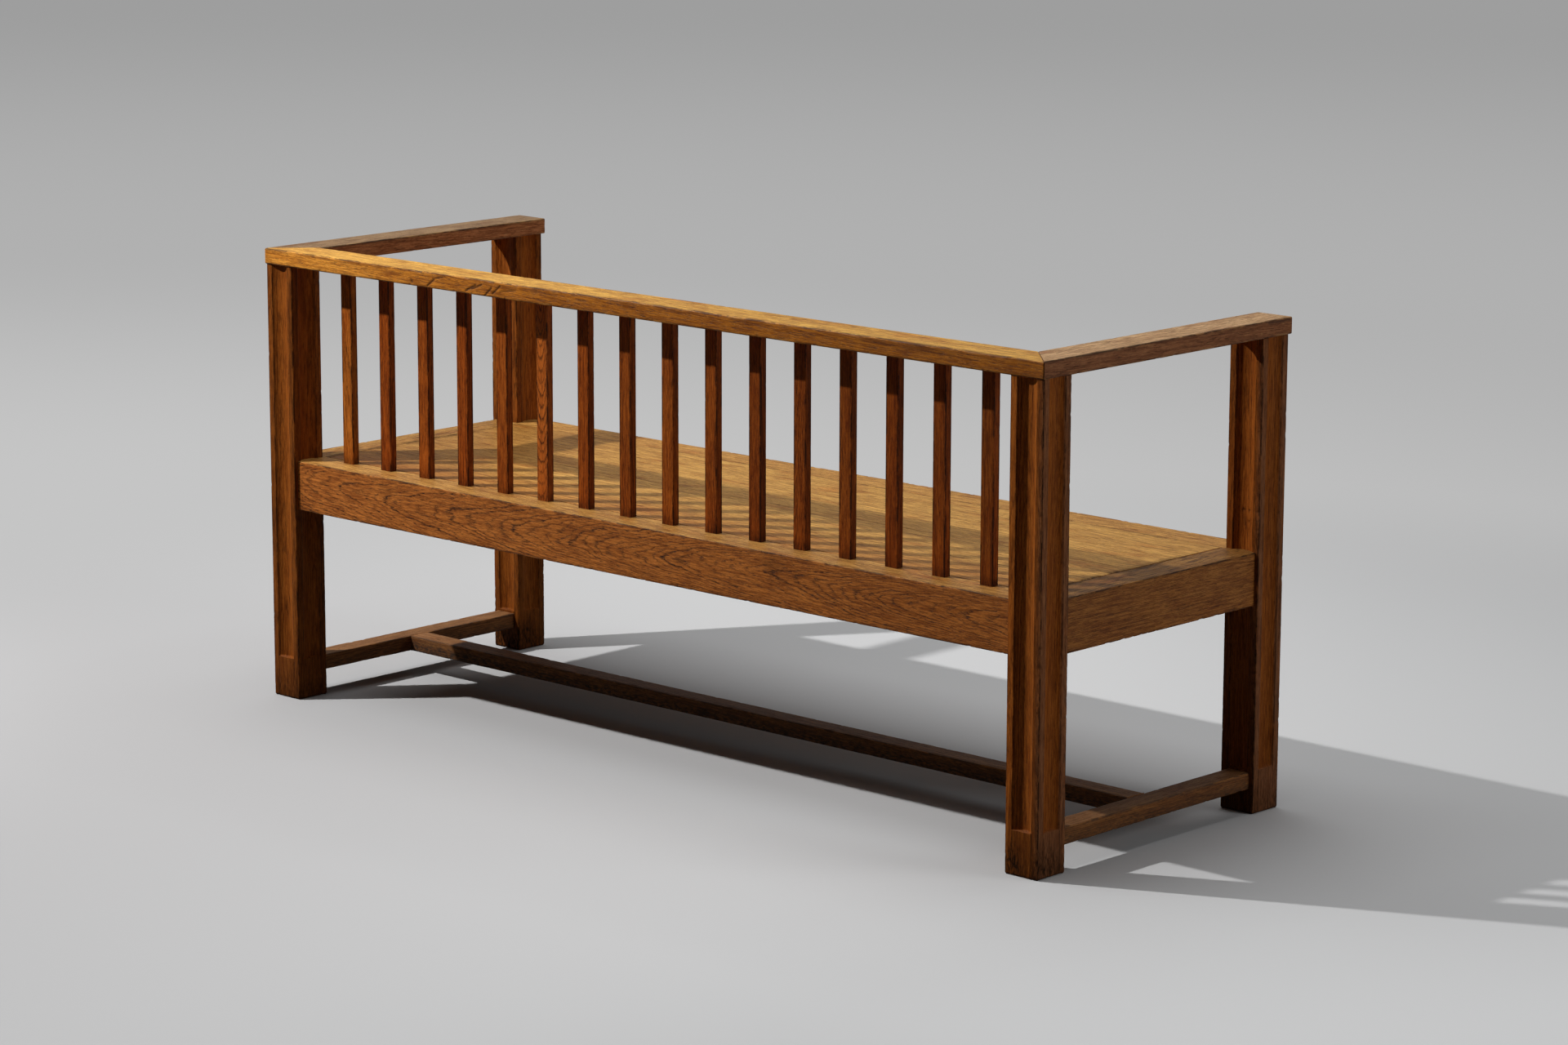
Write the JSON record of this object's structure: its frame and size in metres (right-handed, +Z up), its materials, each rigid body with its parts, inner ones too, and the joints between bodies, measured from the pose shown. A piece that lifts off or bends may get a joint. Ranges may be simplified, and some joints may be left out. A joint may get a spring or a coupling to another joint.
{
  "type": "settle",
  "caption": "Long low oak settle with fluted square posts, a flat mitred top rail running into level arms, an open slatted back, a boarded seat and an H stretcher.",
  "frame": {"origin": "on the floor under the middle of the settle's overall box", "axes": "+X along the length towards the right-hand end of somebody facing the front; -Y is the front, where one sits down; +Z up"},
  "size_m": [1.7, 0.59, 0.77],
  "materials": {
    "oak_post": "old waxed oak, red-brown",
    "oak_top_rail": "old waxed oak, worn pale on top",
    "oak_slat": "old waxed oak, red-brown",
    "oak_seat_rail": "old waxed oak, warm brown",
    "oak_seat_board": "old waxed oak, worn golden",
    "oak_stretcher": "old waxed oak, scuffed on top",
    "oak_inside": "raw oak, unfinished"
  },
  "bodies": {
    "root": {"arm_left": "oak_top_rail", "arm_right": "oak_top_rail", "back_slat_01": "oak_slat", "back_slat_02": "oak_slat", "back_slat_03": "oak_slat", "back_slat_04": "oak_slat", "back_slat_05": "oak_slat", "back_slat_06": "oak_slat", "back_slat_07": "oak_slat", "back_slat_08": "oak_slat", "back_slat_09": "oak_slat", "back_slat_10": "oak_slat", "back_slat_11": "oak_slat", "back_slat_12": "oak_slat", "back_slat_13": "oak_slat", "back_slat_14": "oak_slat", "back_slat_15": "oak_slat", "back_slat_16": "oak_slat", "mitre_tongue_left": "oak_inside", "mitre_tongue_right": "oak_inside", "post_back_left": "oak_post", "post_back_right": "oak_post", "post_front_left": "oak_post", "post_front_right": "oak_post", "seat_bearer_1": "oak_inside", "seat_bearer_2": "oak_inside", "seat_bearer_3": "oak_inside", "seat_board_1": "oak_seat_board", "seat_board_2": "oak_seat_board", "seat_board_3": "oak_seat_board", "seat_board_4": "oak_seat_board", "seat_cleat_left": "oak_inside", "seat_cleat_right": "oak_inside", "seat_rail_back": "oak_seat_rail", "seat_rail_front": "oak_seat_rail", "seat_rail_left": "oak_seat_rail", "seat_rail_right": "oak_seat_rail", "stretcher_left": "oak_stretcher", "stretcher_long": "oak_stretcher", "stretcher_right": "oak_stretcher", "top_rail_back": "oak_top_rail"}
  },
  "joints": []
}
